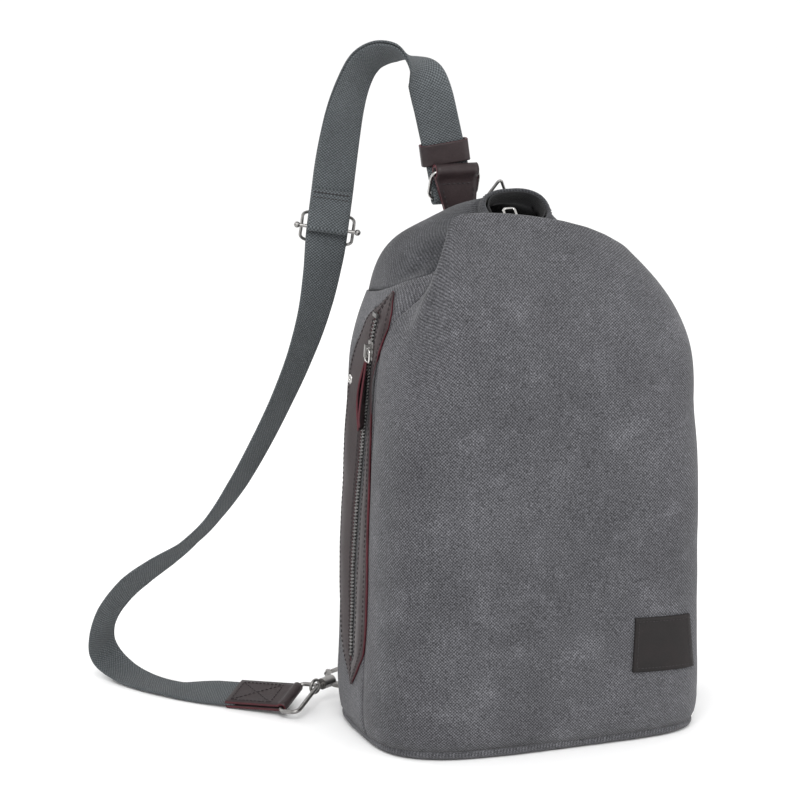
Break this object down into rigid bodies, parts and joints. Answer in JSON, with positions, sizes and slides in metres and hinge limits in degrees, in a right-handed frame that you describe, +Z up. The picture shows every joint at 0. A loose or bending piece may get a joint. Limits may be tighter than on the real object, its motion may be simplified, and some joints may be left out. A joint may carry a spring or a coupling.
{
  "type": "sling bag",
  "caption": "Tall rounded canvas sling bag with a rolled top mouth, leather-framed side zip, blank leather label and a long adjustable webbing strap clipped to a low side ring.",
  "frame": {"origin": "centre of the bag's footprint at the underside of its base", "axes": "+Z up, -Y towards the bag's front panel, -X towards the side with the zip"},
  "size_m": [0.3889, 0.2916, 0.4881],
  "materials": {
    "canvas": "washed grey canvas, matte, mottled",
    "lining": "black woven lining",
    "foam": "soft foam padding",
    "board": "stiff base board",
    "webbing": "slate grey cotton webbing, matte",
    "zip_tape": "woven zip tape",
    "leather": "dark brown leather with burgundy edges, satin",
    "label_leather": "dark brown leather, matte",
    "zip_metal": "darkened metal teeth",
    "hardware": "gunmetal nickel, polished"
  },
  "bodies": {
    "root": {"adjuster_bar": "hardware", "adjuster_frame": "hardware", "back_foam_pad": "foam", "back_panel": "canvas", "base_board": "board", "base_panel": "canvas", "closure_catch_tab": "leather", "closure_hook_tab": "leather", "collar_back": "canvas", "collar_front": "canvas", "collar_left": "canvas", "collar_right": "canvas", "earphone_eyelet": "hardware", "front_panel": "canvas", "label_patch": "label_leather", "left_gusset": "canvas", "left_ring_tab": "leather", "lining": "lining", "mouth_hem": "canvas", "right_gusset": "canvas", "right_ring_tab": "leather", "side_pocket_bag": "lining", "strap_end_leather": "leather", "strap_inner": "webbing", "strap_keeper": "leather", "strap_long": "webbing", "top_anchor_tab": "leather", "zip_bottom_stop": "zip_metal", "zip_tape_back": "zip_tape", "zip_tape_front": "zip_tape", "zip_teeth_back": "zip_metal", "zip_teeth_front": "zip_metal", "zip_top_stop": "zip_metal", "zip_welt": "leather"},
    "zip_slider": {"zip_slider": "hardware"},
    "zip_pull_ring": {"zip_pull_ring": "hardware"},
    "zip_pull": {"zip_pull": "leather"},
    "top_ring": {"top_ring": "hardware"},
    "strap_end_ring": {"strap_end_ring": "hardware"},
    "hook_swivel": {"hook_swivel": "hardware"},
    "hook_body": {"hook_body": "hardware", "hook_gate_pin": "hardware", "hook_gate_spring": "hardware"},
    "hook_gate": {"hook_gate": "hardware"},
    "left_ring": {"left_ring": "hardware"},
    "right_ring": {"right_ring": "hardware"},
    "closure_catch": {"closure_catch": "hardware"},
    "closure_hook": {"closure_hook": "hardware"}
  },
  "joints": [
    {"name": "zip_slide", "type": "slide", "parent": "root", "child": "zip_slider", "axis": [-0.035, 0.124, -0.9917], "range_m": [-0.017, 0.2]},
    {"name": "pull_ring_hinge", "type": "hinge", "parent": "zip_slider", "child": "zip_pull_ring", "pos_m": [-0.11606, -0.00814, 0.28315], "axis": [0, 0.9923, 0.124], "range_deg": [0, 120]},
    {"name": "leather_pull_hinge", "type": "hinge", "parent": "zip_pull_ring", "child": "zip_pull", "pos_m": [-0.11638, -0.007, 0.27403], "axis": [0, 0.9923, 0.124], "range_deg": [0, 60]},
    {"name": "top_ring_hinge", "type": "hinge", "parent": "root", "child": "top_ring", "pos_m": [-0.021, 0.0695, 0.391], "axis": [1, 0, 0], "range_deg": [-1.5, 1.5]},
    {"name": "strap_end_ring_hinge", "type": "hinge", "parent": "root", "child": "strap_end_ring", "pos_m": [-0.14882, 0.0707, 0.01089], "axis": [0.6737, 0.6885, 0.2684], "range_deg": [-2, 2]},
    {"name": "hook_eye_hinge", "type": "hinge", "parent": "strap_end_ring", "child": "hook_swivel", "pos_m": [-0.1296, 0.07239, 0.01605], "axis": [0.5153, -0.857, 0], "range_deg": [-2, 2]},
    {"name": "hook_swivel_turn", "type": "hinge", "parent": "hook_swivel", "child": "hook_body", "pos_m": [-0.1296, 0.07239, 0.01605], "axis": [0.857, 0.5153, -0.0011], "range_deg": [-8, 8]},
    {"name": "hook_gate_hinge", "type": "hinge", "parent": "hook_body", "child": "hook_gate", "pos_m": [-0.11296, 0.09008, 0.01982], "axis": [-0.2584, 0.428, -0.866], "range_deg": [0, 18], "stiffness_Nm_per_rad": 0.03, "springref_deg": -8.59},
    {"name": "left_ring_hinge", "type": "hinge", "parent": "root", "child": "left_ring", "pos_m": [-0.079, 0.09, 0.016], "axis": [0, 0, 1], "range_deg": [-1, 4]},
    {"name": "right_ring_hinge", "type": "hinge", "parent": "root", "child": "right_ring", "pos_m": [0.079, 0.09, 0.016], "axis": [0, 0, 1], "range_deg": [-25, 150]},
    {"name": "closure_catch_hinge", "type": "hinge", "parent": "root", "child": "closure_catch", "pos_m": [-0.002, 0.0415, 0.371], "axis": [-1, 0, 0], "range_deg": [0, 100]},
    {"name": "closure_hook_hinge", "type": "hinge", "parent": "root", "child": "closure_hook", "pos_m": [-0.0067, 0.0015, 0.356], "axis": [-1, 0, 0], "range_deg": [0, 50]}
  ]
}
